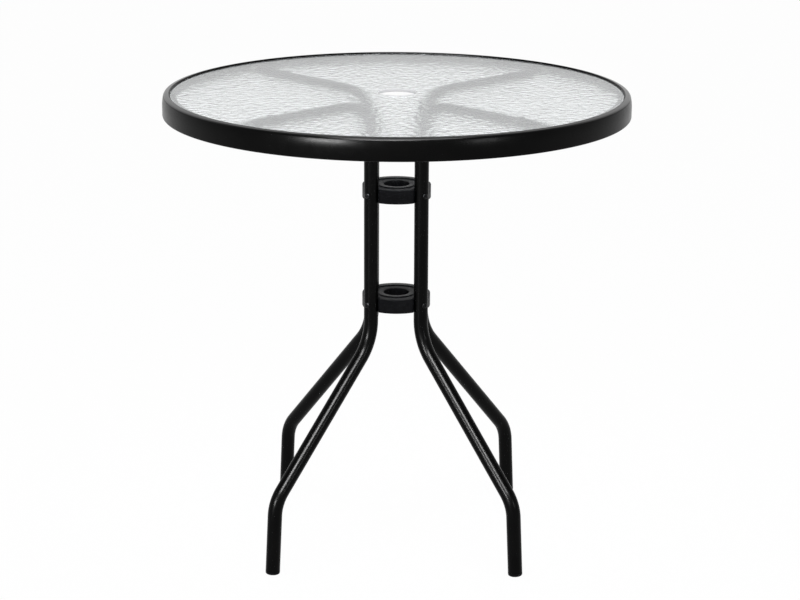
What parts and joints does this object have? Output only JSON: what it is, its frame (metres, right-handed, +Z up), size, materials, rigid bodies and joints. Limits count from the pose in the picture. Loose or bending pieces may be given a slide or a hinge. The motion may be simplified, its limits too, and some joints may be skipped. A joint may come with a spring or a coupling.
{
  "type": "umbrella table",
  "caption": "Round umbrella table: rippled glass in a rolled rim on bent tube legs, with collars that guide the umbrella pole.",
  "frame": {"origin": "on the floor, under the middle of the round top", "axes": "+Z up along the umbrella pole; the legs lie on the diagonals between X and Y"},
  "size_m": [0.711, 0.711, 0.7126],
  "materials": {
    "black_steel": "black powder coat, satin to gloss",
    "rippled_glass": "clear toughened glass with a water-ripple face",
    "black_plastic": "moulded black plastic, fine matt",
    "black_rubber": "matt rubber",
    "screw_steel": "black zinc plated steel",
    "zinc_steel": "bright zinc plated steel"
  },
  "bodies": {
    "root": {"rim": "black_steel", "glass_top": "rippled_glass", "upper_collar": "black_plastic", "lower_collar": "black_plastic", "leg_1": "black_steel", "foot_plug_1": "black_plastic", "glass_bumper_1": "black_rubber", "upper_collar_screw_1": "screw_steel", "lower_collar_screw_1": "screw_steel", "rim_bracket_1": "black_steel", "arm_screw_1": "zinc_steel", "arm_nut_1": "zinc_steel", "leg_2": "black_steel", "foot_plug_2": "black_plastic", "glass_bumper_2": "black_rubber", "upper_collar_screw_2": "screw_steel", "lower_collar_screw_2": "screw_steel", "rim_bracket_2": "black_steel", "arm_screw_2": "zinc_steel", "arm_nut_2": "zinc_steel", "leg_3": "black_steel", "foot_plug_3": "black_plastic", "glass_bumper_3": "black_rubber", "upper_collar_screw_3": "screw_steel", "lower_collar_screw_3": "screw_steel", "rim_bracket_3": "black_steel", "arm_screw_3": "zinc_steel", "arm_nut_3": "zinc_steel", "leg_4": "black_steel", "foot_plug_4": "black_plastic", "glass_bumper_4": "black_rubber", "upper_collar_screw_4": "screw_steel", "lower_collar_screw_4": "screw_steel", "rim_bracket_4": "black_steel", "arm_screw_4": "zinc_steel", "arm_nut_4": "zinc_steel"}
  },
  "joints": []
}
